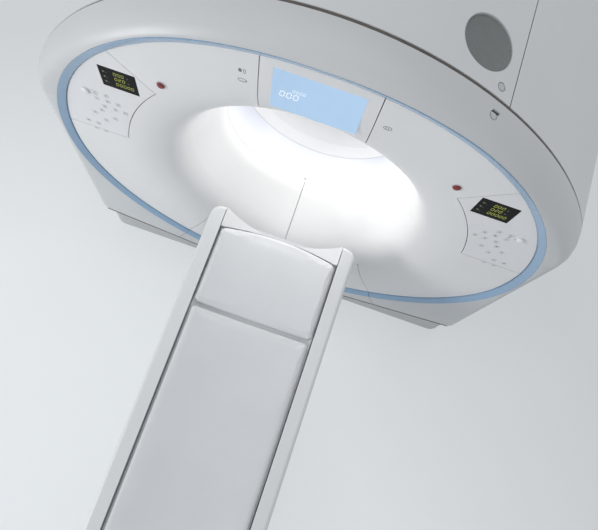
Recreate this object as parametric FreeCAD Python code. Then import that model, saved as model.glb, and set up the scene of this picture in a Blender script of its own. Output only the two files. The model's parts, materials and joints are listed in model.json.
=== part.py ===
"""CT scanner: a ring gantry on its plinth and the patient couch in front of it.

Millimetres. The origin is on the floor, straight under the middle of the bore in the scan plane.
+X is to the right for someone at the couch's foot end, the bore runs along Y with its front towards
-Y, and +Z is up. Every sub-part is one STEP file in parts/, in this frame.
"""
import FreeCAD, Part
import math
import os

V = FreeCAD.Vector

# ---------------------------------------------------------------- gantry sizes
bore_height = 945.0  # bore axis above the floor
bore_radius = 390.0
gantry_half_width = 975.0
arch_margin = 165.0  # radius of the covers' top beyond the half width
arch_drop = 275.0  # arch centre below the bore axis
shoulder_radius = 220.0
gantry_front = -437.0
gantry_rear = 430.0
cover_wall = 5.0
seam_width = 2.5
fit_gap = 0.3

front_shell_depth = 117.0
rim_roll_depth = 100.0  # how far back the front shell's rounded rim goes
rim_roll_top = 52.0  # how far the rim rolls in at the crown
rim_roll_side = 48.0
groove_width = 12.0  # shadow gap behind the front shell, at the crown
groove_bow = 8.0  # how much narrower it is at the sides
groove_depth = 3.0
rear_shell_depth = 110.0
rear_roll_depth = 70.0
return_flange = 26.0

parting_height = 110.0  # shells' lower edge above the floor, in the middle
parting_slope = 0.167  # it rises towards the sides
plinth_inset_side = 15.0
plinth_inset_front = 37.0
plinth_corner = 60.0
plinth_wall = 4.0

# ---------------------------------------------------------------- fascia sizes
ring_squareness = 2.13  # exponent of the ring's upper half, 2 is an ellipse
ring_arcs = 16
ring_bottom_rise = 55.0  # ring's lowest point above the shells' lower edge
ring_width = 26.0
ring_slope_depth = 13.0  # the ring band leans in towards the fascia
ring_step = 5.0  # the ring sits on a flange this far behind the fascia's face
ring_shadow = 0.8  # open line between the ring and the fascia's edge
fascia_edge_chamfer = 4.0
fascia_setback = 17.0  # fascia behind the rim's front
fascia_wall = 6.0
fascia_under_ring = 24.0
bell_radius = 690.0  # where the soft dish around the bore starts
bell_depth = 330.0
bell_steps = [(0.70, 0.030), (0.467, 0.115), (0.20, 0.47), (0.067, 0.78)]  # (radius share, depth share)
bell_flats = 9  # the turned section is cut in straight flats, each of the same lean
bell_back_flats = 3
mouth_flats = 6  # the rear funnel's section
mouth_radius = 565.0  # the rear funnel's edge on the rear fascia
funnel_depth = 265.0
rear_groove_depth = 2.0
lip_radius = 545.0  # where the display panel and the lower cover end
display_panel_half_width = 170.0
screen_size = (261.0, 163.0)
screen_rise = 665.0  # middle of the screen above the bore axis
control_arc_radius = 668.0
control_seam_top = (646.0, 585.0)  # from the bore axis, on the ring
control_seam_low = (490.0, 431.0)
control_seam_rise = 100.0  # the panel's lower seam above the bore axis
panel_display_size = (124.0, 96.0)
panel_display_at = (624.0, 447.0)
key_size = (17.0, 14.0)
key_rows = [(337, (694, 733)), (305, (658, 695, 735)), (268, (640, 675, 716)), (238, (733,)), (209, (690, 766)),
            (178, (731,)), (137, (773, 811)), (97, (753, 791))]  # rise above the bore axis, places along X
round_key_at = (768.0, 332.0)
round_key_radius = 13.0
lower_seam_top = (370.0, -425.0)
lower_seam_ring = (497.0, -665.0)
seam_tab_width = 44.0  # the strip behind this seam, and where it starts and ends before the ring
seam_tab_near = 60.0
seam_tab_far = 120.0
stop_button_at = (475.0, 502.0)
stop_button_radius = 12.0
stop_button_proud = 5.0
stop_button_travel = 4.0
collar_radius = 15.0
collar_proud = 2.5

top_seam_x = 486.0
vent_radius = 80.0
vent_x = 378.0
vent_y = -180.0
vent_depth = 12.0
cap_radius = 13.0
cap_face_radius = 10.0
cap_x = 446.0

# ---------------------------------------------------------------- scan window and liner
window_half_length = 85.0
window_wall = 3.0
liner_wall = 6.0

# ---------------------------------------------------------------- frame and rotor sizes
frame_height = 112.0
frame_beam = 100.0
floor_plate = 12.0
anchor_hole_radius = 9.0
screw_radius = 8.0
screw_head_radius = 12.0
anchor_inset = 115.0  # anchor holes in from the covers' sides
anchor_half_y = 300.0
floor_plate_half = 60.0
rotor_floor_gap = 43.0
rotor_clearance = 36.0  # rotor outside the bore liner
stator_y = (150.0, 190.0)
rotor_plate_y = (40.0, 80.0)
rotor_front = -225.0
rim_wall = 18.0
bearing_section = 32.0
running_gap = 0.3
slip_ring_width = 110.0
slip_ring_depth = 24.0
tube_radius = 95.0  # the X-ray tube's housing
tube_rise = 15.0  # its middle above the focus
housing_half_height = 170.0  # generator tank and cooler, half their height
cooler_slots = 6
focus_rise = 570.0  # X-ray focus above the bore axis
detector_inner = 1012.0  # from the focus
detector_depth = 68.0
detector_half_angle = 25.5
belt_y = (-40.0, -10.0)
belt_thickness = 5.0
pulley_radius = 50.0
shaft_radius = 14.0
motor_half = 66.0
motor_at = (640.0, -660.0)  # from the bore axis

# ---------------------------------------------------------------- couch sizes
couch_gap = 26.0  # couch tips in front of the gantry
couch_length = 2450.0
couch_height = 845.0  # mat top at the edges, as it rests
rail_half_width = 311.0
rail_width = 58.0
rail_drop = 3.0  # rail top below the mat's edge
tip_radius = 46.0
mat_half_width = 247.0
mat_thickness = 30.0
mat_dish = 14.0
mat_bulge = 38.0
mat_setback = 88.0  # head mat's corners behind the tips
head_mat_length = 330.0
mat_gap = 11.0
mat_edge_radius = 9.0
mat_corner = 22.0
cradle_depth = 55.0
cradle_half_width = 250.0
cradle_bow = 52.0  # its head edge is hollowed this far
slide_strip = 14.7
tray_depth = 95.0
tray_half_width = 296.0
foot_cover_length = 130.0
lift_down = 350.0
lift_up = 50.0

column_y = -1560.0
column_half = (280.0, 450.0)  # base housing, half its plan
column_step = 16.0  # each stage inside the one below
column_corner = 60.0
column_wall = 4.0
housing_height = 245.0
stage_overlap = 20.0
ram_half = 38.0  # the rams are square tubes that slide in one another
ram_wall = 6.0
ram_spacing = 560.0
couch_plate = 12.0
couch_anchor = (230.0, 400.0)

# ---------------------------------------------------------------- worked out
arch_radius = gantry_half_width + arch_margin
arch_centre = bore_height - arch_drop
crown = arch_centre + arch_radius
front_shell_back = gantry_front + front_shell_depth
cover_front = front_shell_back + groove_width
rear_shell_front = gantry_rear - rear_shell_depth
fascia_y = gantry_front + fascia_setback
rear_fascia_y = gantry_rear - fascia_setback
ring_half_width = gantry_half_width - rim_roll_side
ring_top = crown - rim_roll_top
ring_bottom = parting_height + ring_bottom_rise
bell_end = fascia_y + bell_depth
side_cover_bottom = parting_height + parting_slope * gantry_half_width + seam_width
rotor_inner = bore_radius + liner_wall + rotor_clearance
rotor_outer = bore_height - frame_height - rotor_floor_gap
couch_tip = gantry_front - couch_gap
couch_foot = couch_tip - couch_length
rail_top = couch_height - rail_drop
cradle_top = couch_height - mat_thickness
cradle_bottom = cradle_top - cradle_depth
tray_top = cradle_bottom - slide_strip - running_gap
tray_bottom = tray_top - tray_depth
cradle_head = couch_tip - 2.0
cradle_foot = couch_foot + foot_cover_length - 20.0


# ---------------------------------------------------------------- helpers
def box(x0, x1, y0, y1, z0, z1):
    return Part.makeBox(x1 - x0, y1 - y0, z1 - z0, V(x0, y0, z0))


def disc_y(radius, y0, y1, x=0.0, z=bore_height):
    """A cylinder along Y."""
    return Part.makeCylinder(radius, y1 - y0, V(x, y0, z), V(0, 1, 0))


def tube_y(outer, inner, y0, y1, x=0.0, z=bore_height):
    return disc_y(outer, y0, y1, x, z).cut(disc_y(inner, y0 - 1, y1 + 1, x, z))


def disc_z(radius, z0, z1, x, y):
    return Part.makeCylinder(radius, z1 - z0, V(x, y, z0), V(0, 0, 1))


def hexagon(radius, z0, z1, x, y):
    turns = [math.pi / 3 * k for k in range(7)]
    corners = [V(x + radius * math.cos(turn), y + radius * math.sin(turn), z0) for turn in turns]
    return Part.Face(Part.makePolygon(corners)).extrude(V(0, 0, z1 - z0))


def mirrored(shape):
    return shape.mirror(V(0, 0, 0), V(1, 0, 0))


def fused(shapes):
    whole = shapes[0]
    if len(shapes) > 1:
        whole = whole.fuse(shapes[1:])
    return whole.removeSplitter()


def group(shapes):
    return Part.makeCompound(shapes)


def line(p, q):
    return Part.makeLine(p, q)


def arc(p, middle, q):
    return Part.Arc(p, middle, q).toShape()


def polygon_xz(points, y0, y1):
    """A prism along Y over a polygon of (x, z) points."""
    corners = [V(x, y0, z) for x, z in points]
    face = Part.Face(Part.makePolygon(corners + corners[:1]))
    return face.extrude(V(0, y1 - y0, 0))


def slab(p, q, width, y0, y1):
    """A thin wall along Y that stands on the line from p to q, both (x, z)."""
    dx, dz = q[0] - p[0], q[1] - p[1]
    length = math.hypot(dx, dz)
    nx, nz = -dz / length * width / 2, dx / length * width / 2
    corners = [(p[0] + nx, p[1] + nz), (q[0] + nx, q[1] + nz), (q[0] - nx, q[1] - nz), (p[0] - nx, p[1] - nz)]
    return polygon_xz(corners, y0, y1)


def rounded_plan(half_x, y0, y1, radius, z0, z1):
    """An upright block whose four corners are rounded."""
    block = box(-half_x, half_x, y0, y1, z0, z1)
    upright = [e for e in block.Edges if abs(e.Vertexes[0].Z - e.Vertexes[1].Z) > 1]
    return block.makeFillet(radius, upright)


def nearest(shapes, x, y, z):
    """The solid whose centre of mass is nearest to a point."""
    return min(shapes, key=lambda s: s.CenterOfMass.distanceToPoint(V(x, y, z)))


def save(node, shape):
    shape.exportStep(os.path.join("parts", node + ".step"))


# ---------------------------------------------------------------- outlines
def arch_wire(inset_side, inset_top, y, bottom_middle, bottom_corner):
    """The covers' outline seen from the front, as a closed wire at one depth."""
    half = gantry_half_width - inset_side
    radius = arch_radius - inset_top
    shoulder = shoulder_radius - inset_side
    reach = half - shoulder
    rise = math.sqrt((radius - shoulder) ** 2 - reach**2)
    centre_z = arch_centre + rise
    lean = math.atan2(rise, reach)
    scale = radius / (radius - shoulder)
    meet_x, meet_z = reach * scale, arch_centre + rise * scale
    mid_x = reach + shoulder * math.cos(lean / 2)
    mid_z = centre_z + shoulder * math.sin(lean / 2)
    low_mid, low_right, low_left = V(0, y, bottom_middle), V(half, y, bottom_corner), V(-half, y, bottom_corner)
    edges = [
        line(low_mid, low_right),
        line(low_right, V(half, y, centre_z)),
        arc(V(half, y, centre_z), V(mid_x, y, mid_z), V(meet_x, y, meet_z)),
        arc(V(meet_x, y, meet_z), V(0, y, arch_centre + radius), V(-meet_x, y, meet_z)),
        arc(V(-meet_x, y, meet_z), V(-mid_x, y, mid_z), V(-half, y, centre_z)),
        line(V(-half, y, centre_z), low_left),
        line(low_left, low_mid),
    ]
    return Part.Wire(edges)


def parting_wire(inset_side, inset_top, y, drop=0.0):
    """The outline with its lower edge on the parting line, or a drop below it."""
    corner = parting_height + parting_slope * (gantry_half_width - inset_side)
    return arch_wire(inset_side, inset_top, y, parting_height - drop, corner - drop)


def arch_prism(inset, y0, y1, bottom):
    face = Part.Face(arch_wire(inset, inset, y0, bottom, bottom))
    return face.extrude(V(0, y1 - y0, 0))


def ring_point(turn, inset, y):
    """A point of the blue ring's closed curve: an ellipse below, squarer above."""
    half = ring_half_width - inset
    up = ring_top - bore_height - inset
    down = bore_height - ring_bottom - inset
    c, s = math.cos(turn), math.sin(turn)
    power = 2 / ring_squareness if s > 0 else 1.0
    x = math.copysign(abs(c) ** power, c) * half
    z = math.copysign(abs(s) ** power, s) * (up if s > 0 else down)
    return V(x, y, bore_height + z)


def ring_wire(inset, y):
    """The ring's curve as a chain of arcs."""
    step = 2 * math.pi / ring_arcs
    ends = [step * k for k in range(ring_arcs)]
    triples = [[ring_point(a + step * share, inset, y) for share in (0, 0.5, 1)] for a in ends]
    return Part.Wire([arc(*triple) for triple in triples])


def ring_prism(inset, y0, y1):
    return Part.Face(ring_wire(inset, y0)).extrude(V(0, y1 - y0, 0))


# ---------------------------------------------------------------- seams of the front covers
def axis_point(offset):
    return (offset[0], bore_height + offset[1])


def along(p, q, distance):
    """The point a distance past q on the line from p."""
    dx, dz = q[0] - p[0], q[1] - p[1]
    length = math.hypot(dx, dz)
    return (q[0] + dx / length * distance, q[1] + dz / length * distance)


def lower_seam_line():
    top, ring = axis_point(lower_seam_top), axis_point(lower_seam_ring)
    inward = math.hypot(*lower_seam_top) - lip_radius
    return along(ring, top, inward * 1.35), along(top, ring, 230.0)


def lower_seams():
    """The two leaning seams beside the lower service cover, through ring and shell."""
    inner, outer = lower_seam_line()
    right = slab(inner, outer, seam_width, gantry_front - 10, front_shell_back + 10)
    lip = disc_y(lip_radius, gantry_front - 20, front_shell_back + 20)
    right = right.cut(lip)
    return [right, mirrored(right)]


def lip_tube(radius):
    return tube_y(radius + seam_width / 2, radius - seam_width / 2, gantry_front - 10, bell_end)


def fascia_seams():
    y0, y1 = gantry_front - 10, bell_end
    lip = disc_y(lip_radius, y0 - 1, y1 + 1)
    half, s = display_panel_half_width, seam_width
    right = box(half - s / 2, half + s / 2, y0, y1, bore_height, crown).cut(lip)
    cutters = [right, mirrored(right)]
    cutters.append(lip_tube(lip_radius).common(box(-half - s / 2, half + s / 2, y0, y1, bore_height, crown)))
    cutters.append(box(-s / 2, s / 2, y0, y1, ring_bottom, ring_top).common(lip))
    inner, outer = lower_seam_line()
    wedge = polygon_xz([inner, outer, (-outer[0], outer[1]), (-inner[0], inner[1])], y0, y1)
    cutters.append(lip_tube(lip_radius).common(wedge))
    cutters += lower_seams()
    cutters += control_seams(y0, y1)
    return group(cutters)


def control_seams(y0, y1):
    low, top = axis_point(control_seam_low), axis_point(control_seam_top)
    inside = disc_y(control_arc_radius, y0 - 1, y1 + 1)
    leaning = slab(along(top, low, 60), along(low, top, 200), seam_width, y0, y1).cut(inside)
    level_z = bore_height + control_seam_rise
    level = box(0, gantry_half_width, y0, y1, level_z - seam_width / 2, level_z + seam_width / 2).cut(inside)
    beyond = along(low, top, 500)
    region = polygon_xz([(0, level_z), (gantry_half_width, level_z), beyond, along(top, low, 200)], y0, y1)
    curved = lip_tube(control_arc_radius).common(region)
    cutters = [leaning, level, curved]
    return cutters + [mirrored(c) for c in cutters]


# ---------------------------------------------------------------- fascia skin
def bell_curve():
    """The bell mouth's section, from the flat fascia into the bore."""
    span = bell_radius - bore_radius
    shares = [(1.0, 0.0)] + bell_steps + [(0.0, 1.0)]
    points = [V(bore_radius + r * span, fascia_y + d * bell_depth, bore_height) for r, d in shares]
    curve = Part.BSplineCurve()
    curve.interpolate(points, InitialTangent=V(-0.6, 0, 0), FinalTangent=V(0, 1.0, 0), Scale=True)
    return curve


def bell_section(flats, wall):
    """Corner points along the bell's section, moved back by a wall, closer where it bends more."""
    curve = bell_curve()
    first, last = curve.FirstParameter, curve.LastParameter
    fine = [first + (last - first) * k / 400 for k in range(401)]
    turns = [math.atan2(curve.tangent(u)[0].y, -curve.tangent(u)[0].x) for u in fine]
    corners = []
    for k in range(flats + 1):
        wanted = turns[0] + (turns[-1] - turns[0]) * k / flats
        u = min(zip(turns, fine), key=lambda pair: abs(pair[0] - wanted))[1]
        if k in (0, flats):
            u = first if k == 0 else last
        point, tangent = curve.value(u), curve.tangent(u)[0]
        corners.append(point + V(tangent.y, -tangent.x, 0) * wall)
    return corners


def fascia_skin():
    """Flat fascia, dish and bell mouth as one wall, turned about the bore axis."""
    far = gantry_half_width + 300
    front = bell_section(bell_flats, 0.0)
    back = bell_section(bell_back_flats, fascia_wall)
    corners = [V(far, front[0].y, bore_height)] + front + back[::-1] + [V(far, back[0].y, bore_height)]
    profile = Part.makePolygon(corners + corners[:1])
    turned = Part.Face(profile).revolve(V(0, 0, bore_height), V(0, 1, 0), 360)
    edge, chamfer = ring_width + ring_shadow, fascia_edge_chamfer
    levels = [(edge + chamfer, fascia_y), (edge, fascia_y + chamfer), (edge, bell_end + 5)]
    trim = Part.makeLoft([ring_wire(inset, y) for inset, y in levels], True, True)
    flange_y = fascia_y + ring_step
    flange = ring_prism(ring_width - fascia_under_ring, flange_y, flange_y + 4)
    flange = flange.cut(ring_prism(edge + 8, flange_y - 1, flange_y + 5))
    return turned.common(trim).fuse(flange)


def build_fascia():
    skin = fascia_skin()
    pieces = skin.cut(fascia_seams()).Solids
    middle_y = fascia_y
    top, ring = axis_point(lower_seam_top), axis_point(lower_seam_ring)
    tab_y = fascia_y + fascia_wall
    tab = slab(along(top, ring, -seam_tab_far), along(top, ring, -seam_tab_near), seam_tab_width, tab_y, tab_y + 3)
    named = {
        "display_panel": nearest(pieces, 0, middle_y, bore_height + screen_rise),
        "lower_cover": nearest(pieces, 0, middle_y, bore_height + lower_seam_ring[1]),
        "fascia_left": nearest(pieces, -520, middle_y, bore_height),
        "fascia_right": nearest(pieces, 520, middle_y, bore_height),
        "control_panel_left": nearest(pieces, -740, middle_y, bore_height + 270),
        "control_panel_right": nearest(pieces, 740, middle_y, bore_height + 270),
    }
    named["fascia_right"] = named["fascia_right"].fuse(tab)
    named["fascia_left"] = named["fascia_left"].fuse(mirrored(tab))
    return named


def plate_at(centre, size, y0, y1):
    """A small upright plate that faces the couch."""
    x, z = centre
    return box(x - size[0] / 2, x + size[0] / 2, y0, y1, z - size[1] / 2, z + size[1] / 2)


def grown(size, by):
    return (size[0] + 2 * by, size[1] + 2 * by)


def build_displays(fascia):
    """Screens, keypads and stop buttons, each in its own pocket or hole."""
    depth = 4.0
    screen = (0.0, bore_height + screen_rise)
    fascia["display_panel"] = fascia["display_panel"].cut(
        plate_at(screen, grown(screen_size, fit_gap), fascia_y - 1, fascia_y + depth + fit_gap))
    save("display_screen", plate_at(screen, screen_size, fascia_y + 0.8, fascia_y + depth))

    display = axis_point(panel_display_at)
    pocket = plate_at(display, grown(panel_display_size, fit_gap), fascia_y - 1, fascia_y + depth + fit_gap)
    glass = plate_at(display, panel_display_size, fascia_y + 0.8, fascia_y + depth)
    keys = keypad()
    for side, flip in (("right", lambda s: s), ("left", mirrored)):
        name = "control_panel_" + side
        fascia[name] = fascia[name].cut(flip(pocket))
    save("panel_displays", group([glass, mirrored(glass)]))
    save("keypads", group(keys + [mirrored(key) for key in keys]))

    x, z = axis_point(stop_button_at)
    hole = disc_y(collar_radius + fit_gap, fascia_y - 20, fascia_y + 30, x, z)
    collar = tube_y(collar_radius, stop_button_radius + 1.0, fascia_y - collar_proud, fascia_y + 16, x, z)
    collar = collar.fuse(disc_y(collar_radius, fascia_y + 16, fascia_y + 20, x, z)).removeSplitter()
    front = fascia_y - collar_proud - stop_button_proud
    button = disc_y(stop_button_radius, front, fascia_y + 16 - stop_button_travel - fit_gap, x, z)
    fascia["fascia_right"] = fascia["fascia_right"].cut(hole)
    fascia["fascia_left"] = fascia["fascia_left"].cut(mirrored(hole))
    save("stop_button_collars", group([collar, mirrored(collar)]))
    save("stop_button_right", button)
    save("stop_button_left", mirrored(button))


def keypad():
    """The right panel's keys: small raised pads in leaning rows and one larger round key."""
    pads = []
    for rise, places in key_rows:
        pads += [key_pad(x, bore_height + rise) for x in places]
    x, z = axis_point(round_key_at)
    pads.append(disc_y(round_key_radius, fascia_y - 4.0, fascia_y, x, z))
    return pads


def key_pad(x, z):
    half_x, half_z = key_size[0] / 2, key_size[1] / 2
    return box(x - half_x, x + half_x, fascia_y - 1.2, fascia_y, z - half_z, z + half_z)


# ---------------------------------------------------------------- rim shells
def rim_solid(front, roll_depth, back, wall, drop, sections):
    """A shell's outer or inner form: straight at the back, its rim rolled in at the front."""
    out = 1 if back > front else -1
    base = front + out * roll_depth
    wires = []
    for k in range(sections + 1):
        turn = math.pi / 2 * k / sections
        y = base - out * (roll_depth - wall) * math.sin(turn)
        side = wall + (rim_roll_side - wall * 0.2) * (1 - math.cos(turn))
        top = wall + (rim_roll_top - wall * 0.2) * (1 - math.cos(turn))
        wires.append(parting_wire(side, top, y, drop))
    rolled = Part.makeLoft(wires, True, True)
    straight = Part.Face(wires[0]).extrude(V(0, back - base, 0))
    return straight.fuse(rolled)


def hood_point(x, y):
    """Height of the front shell's surface and its lean at a place on the arch."""
    share = max(0.0, (gantry_front + rim_roll_depth - y) / rim_roll_depth)
    inset = rim_roll_top * (1 - math.sqrt(1 - share**2))
    radius = arch_radius - inset
    return arch_centre + math.sqrt(radius**2 - x**2), math.asin(x / radius)


def on_arch(shape, x, y, sink):
    """Moves a shape made about the origin, its axis up, to the arch's surface at x, y."""
    z, lean = hood_point(x, y)
    placed = shape.copy()
    placed.rotate(V(0, 0, 0), V(0, 1, 0), math.degrees(lean))
    placed.translate(V(x - sink * math.sin(lean), y, z - sink * math.cos(lean)))
    return placed


def cap_places():
    return [(cap_x, cover_front + 33.0), (cap_x, front_shell_back - 42.0)]


def cap_notch():
    """The slot beside the front cap, cut from the shell and from the cap's edge."""
    x, y = cap_places()[1]
    return on_arch(Part.makeBox(24, 9, 30, V(-12, -4.5, -15)), x + 5, y + 11, 0)


def build_rim_shells():
    outer = rim_solid(gantry_front, rim_roll_depth, front_shell_back, 0.0, 0.0, 4)
    inner = rim_solid(gantry_front, rim_roll_depth, front_shell_back - 4, cover_wall, 60.0, 2)
    open_back = Part.Face(parting_wire(return_flange, return_flange, front_shell_back - 20, 60.0))
    through = open_back.extrude(V(0, 40, 0))
    shell = outer.cut(inner).cut(through).cut(ring_prism(0, gantry_front - 5, gantry_front + 60))
    for x, y in cap_places():
        shell = shell.cut(on_arch(Part.makeCylinder(cap_radius + fit_gap, 30, V(0, 0, -15)), x, y, 0))
    pieces = shell.cut(cap_notch()).cut(group(lower_seams())).Solids
    save("front_apron", nearest(pieces, 0, gantry_front, parting_height + 20))
    inner, outer = lower_seam_line()
    tab_y = gantry_front + cover_wall
    tab = slab(along(inner, outer, -155), along(inner, outer, -105), seam_tab_width, tab_y, tab_y + 3)
    save("front_shell", max(pieces, key=lambda s: s.Volume).fuse([tab, mirrored(tab)]))

    rear_outer = rim_solid(gantry_rear, rear_roll_depth, rear_shell_front, 0.0, 0.0, 3)
    rear_inner = rim_solid(gantry_rear, rear_roll_depth, rear_shell_front - 20, cover_wall, 60.0, 2)
    rear = rear_outer.cut(rear_inner).cut(ring_prism(0, gantry_rear - 40, gantry_rear + 5))
    turned_in = ring_prism(-cover_wall, rear_fascia_y + fit_gap, gantry_rear - 1)
    turned_in = turned_in.cut(ring_prism(0, rear_fascia_y, gantry_rear))
    save("rear_shell", rear.fuse(turned_in))


def build_ring_trim():
    """The blue band: a wedge that leans from the rim down to the fascia."""
    edge, land = 0.5, 2.0
    back = fascia_y + ring_step - fit_gap
    inner_y = gantry_front + ring_slope_depth
    blank = ring_prism(edge, gantry_front, back)
    places = [(edge + land, gantry_front), (ring_width, inner_y), (ring_width, back)]
    band = blank.cut(Part.makeLoft([ring_wire(inset, y) for inset, y in places], True, True))
    pieces = band.cut(group(lower_seams())).Solids
    save("ring_trim_lower", nearest(pieces, 0, gantry_front, ring_bottom))
    save("ring_trim_upper", max(pieces, key=lambda s: s.Volume))


# ---------------------------------------------------------------- top and side covers
def bowed_front(extra, depth):
    """A block whose front face is bowed in plan, to trim the covers' front edge."""
    half = gantry_half_width + 50
    y = cover_front + extra
    left, right = V(-half, y - groove_bow, 0), V(half, y - groove_bow, 0)
    far_left, far_right = V(-half, depth, 0), V(half, depth, 0)
    edges = [arc(left, V(0, y, 0), right), line(right, far_right), line(far_right, far_left), line(far_left, left)]
    return Part.Face(Part.Wire(edges)).extrude(V(0, 0, crown + 100))


def build_covers():
    y0, y1 = front_shell_back, rear_shell_front - 0.8
    outer = arch_prism(0, y0, y1, side_cover_bottom).common(bowed_front(0, y1 + 1))
    inner = arch_prism(cover_wall, y0, y1 - 4, -50).common(bowed_front(4, y1 + 1))
    through = arch_prism(return_flange, y0 - 5, y1 + 5, -50)
    tube = outer.cut(inner).cut(through)
    for x in (-vent_x, vent_x):
        tube = tube.cut(on_arch(Part.makeCylinder(vent_radius + fit_gap, 80, V(0, 0, -40)), x, vent_y, 0))
    for x, y in cap_places():
        tube = tube.cut(on_arch(Part.makeCylinder(cap_radius + fit_gap, 30, V(0, 0, -15)), x, y, 0))
    seam = box(top_seam_x - seam_width / 2, top_seam_x + seam_width / 2, y0 - 5, y1 + 5, bore_height, crown + 10)
    pieces = tube.cut(group([seam, mirrored(seam)])).Solids
    save("top_cover", nearest(pieces, 0, 0, crown))
    save("side_cover_left", nearest(pieces, -gantry_half_width, 0, bore_height))
    save("side_cover_right", nearest(pieces, gantry_half_width, 0, bore_height))

    gap = fit_gap
    strip = arch_prism(groove_depth, front_shell_back + gap, cover_front, side_cover_bottom + 4)
    strip = strip.cut(arch_prism(return_flange - 4, y0 - 5, y1, -50)).cut(bowed_front(-gap, y1))
    save("groove_strip", strip)

    cap = Part.makeCylinder(cap_radius, 7, V(0, 0, -10)).fuse(Part.makeCylinder(cap_face_radius, 3, V(0, 0, -3)))
    caps = [on_arch(cap, x, y, 0.5).cut(cap_notch()) for x, y in cap_places()]
    save("cover_caps", group(caps))
    save("vent_grilles", group([on_arch(vent_grille(), x, vent_y, 3.0) for x in (-vent_x, vent_x)]))


def vent_grille():
    """A round cup, made about the origin with its mouth up, which holds the filter's slats."""
    cup = Part.makeCylinder(vent_radius, vent_depth, V(0, 0, -vent_depth))
    return cup.cut(Part.makeCylinder(vent_radius - 2, vent_depth, V(0, 0, 3 - vent_depth)))


# ---------------------------------------------------------------- plinth
def build_plinth():
    half = gantry_half_width - plinth_inset_side
    y0, y1 = gantry_front + plinth_inset_front, gantry_rear - plinth_inset_front
    blank = rounded_plan(half, y0, y1, plinth_corner, 0, crown)
    hollow = rounded_plan(half - plinth_wall, y0 + plinth_wall, y1 - plinth_wall, plinth_corner - plinth_wall, -5, crown)
    top = parting_height - seam_width
    rise = parting_slope * half
    below = polygon_xz([(-half, 0), (half, 0), (half, top + rise), (0, top), (-half, top + rise)], y0, y1)
    skirt = blank.cut(hollow).common(below)
    frame_side = gantry_half_width - anchor_inset + frame_beam / 2
    halves = []
    for near, far in ((y0, -seam_width / 2), (seam_width / 2, y1)):
        middle = (near + far) / 2
        bracket = box(frame_side + fit_gap, half - 1, middle - 40, middle + 40, frame_height - 40, frame_height - 34)
        halves.append(skirt.common(box(-half, half, near, far, 0, crown)).fuse([bracket, mirrored(bracket)]))
    save("plinth_front", halves[0])
    save("plinth_rear", halves[1])


# ---------------------------------------------------------------- rear fascia, scan window and liner
def mouth_arc(radius, flats):
    """Corner points of the rear funnel's quarter round, about the mouth's edge circle."""
    centre_y = rear_fascia_y - (mouth_radius - bore_radius)
    leans = [math.pi / 2 * k / flats for k in range(flats + 1)]
    return [V(mouth_radius - radius * math.cos(a), centre_y + radius * math.sin(a), bore_height) for a in leans]


def build_bore():
    window_y0, window_y1 = bell_end + fit_gap, window_half_length
    save("scan_window", tube_y(bore_radius + window_wall, bore_radius, window_y0, window_y1))
    liner_y1 = rear_fascia_y - funnel_depth
    save("bore_liner", tube_y(bore_radius + liner_wall, bore_radius, window_y1 + fit_gap, liner_y1))

    start = liner_y1 + fit_gap
    turn = mouth_radius - bore_radius
    front, back = mouth_arc(turn, mouth_flats), mouth_arc(turn - fascia_wall, bell_back_flats)
    corners = [V(bore_radius, start, bore_height)] + front + back[::-1]
    corners.append(V(bore_radius + fascia_wall, start, bore_height))
    funnel = Part.Face(Part.makePolygon(corners + corners[:1])).revolve(V(0, 0, bore_height), V(0, 1, 0), 360)
    flat = ring_prism(1 - cover_wall, rear_fascia_y - fascia_wall, rear_fascia_y)
    plate = flat.cut(disc_y(mouth_radius, rear_fascia_y - 20, rear_fascia_y + 20))
    inner, outer = lower_seam_line()
    up_inner, up_outer = (inner[0], 2 * bore_height - inner[1]), (outer[0] + 60, 2 * bore_height - outer[1])
    groove_y = rear_fascia_y - rear_groove_depth
    grooves = [slab(p, q, seam_width, groove_y, rear_fascia_y + 1) for p, q in ((inner, outer), (up_inner, up_outer))]
    grooves = [g.cut(disc_y(mouth_radius + 10, groove_y - 1, rear_fascia_y + 2)) for g in grooves]
    grooves += [mirrored(g) for g in grooves]
    save("rear_fascia", plate.fuse(funnel).removeSplitter().cut(group(grooves)))


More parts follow.
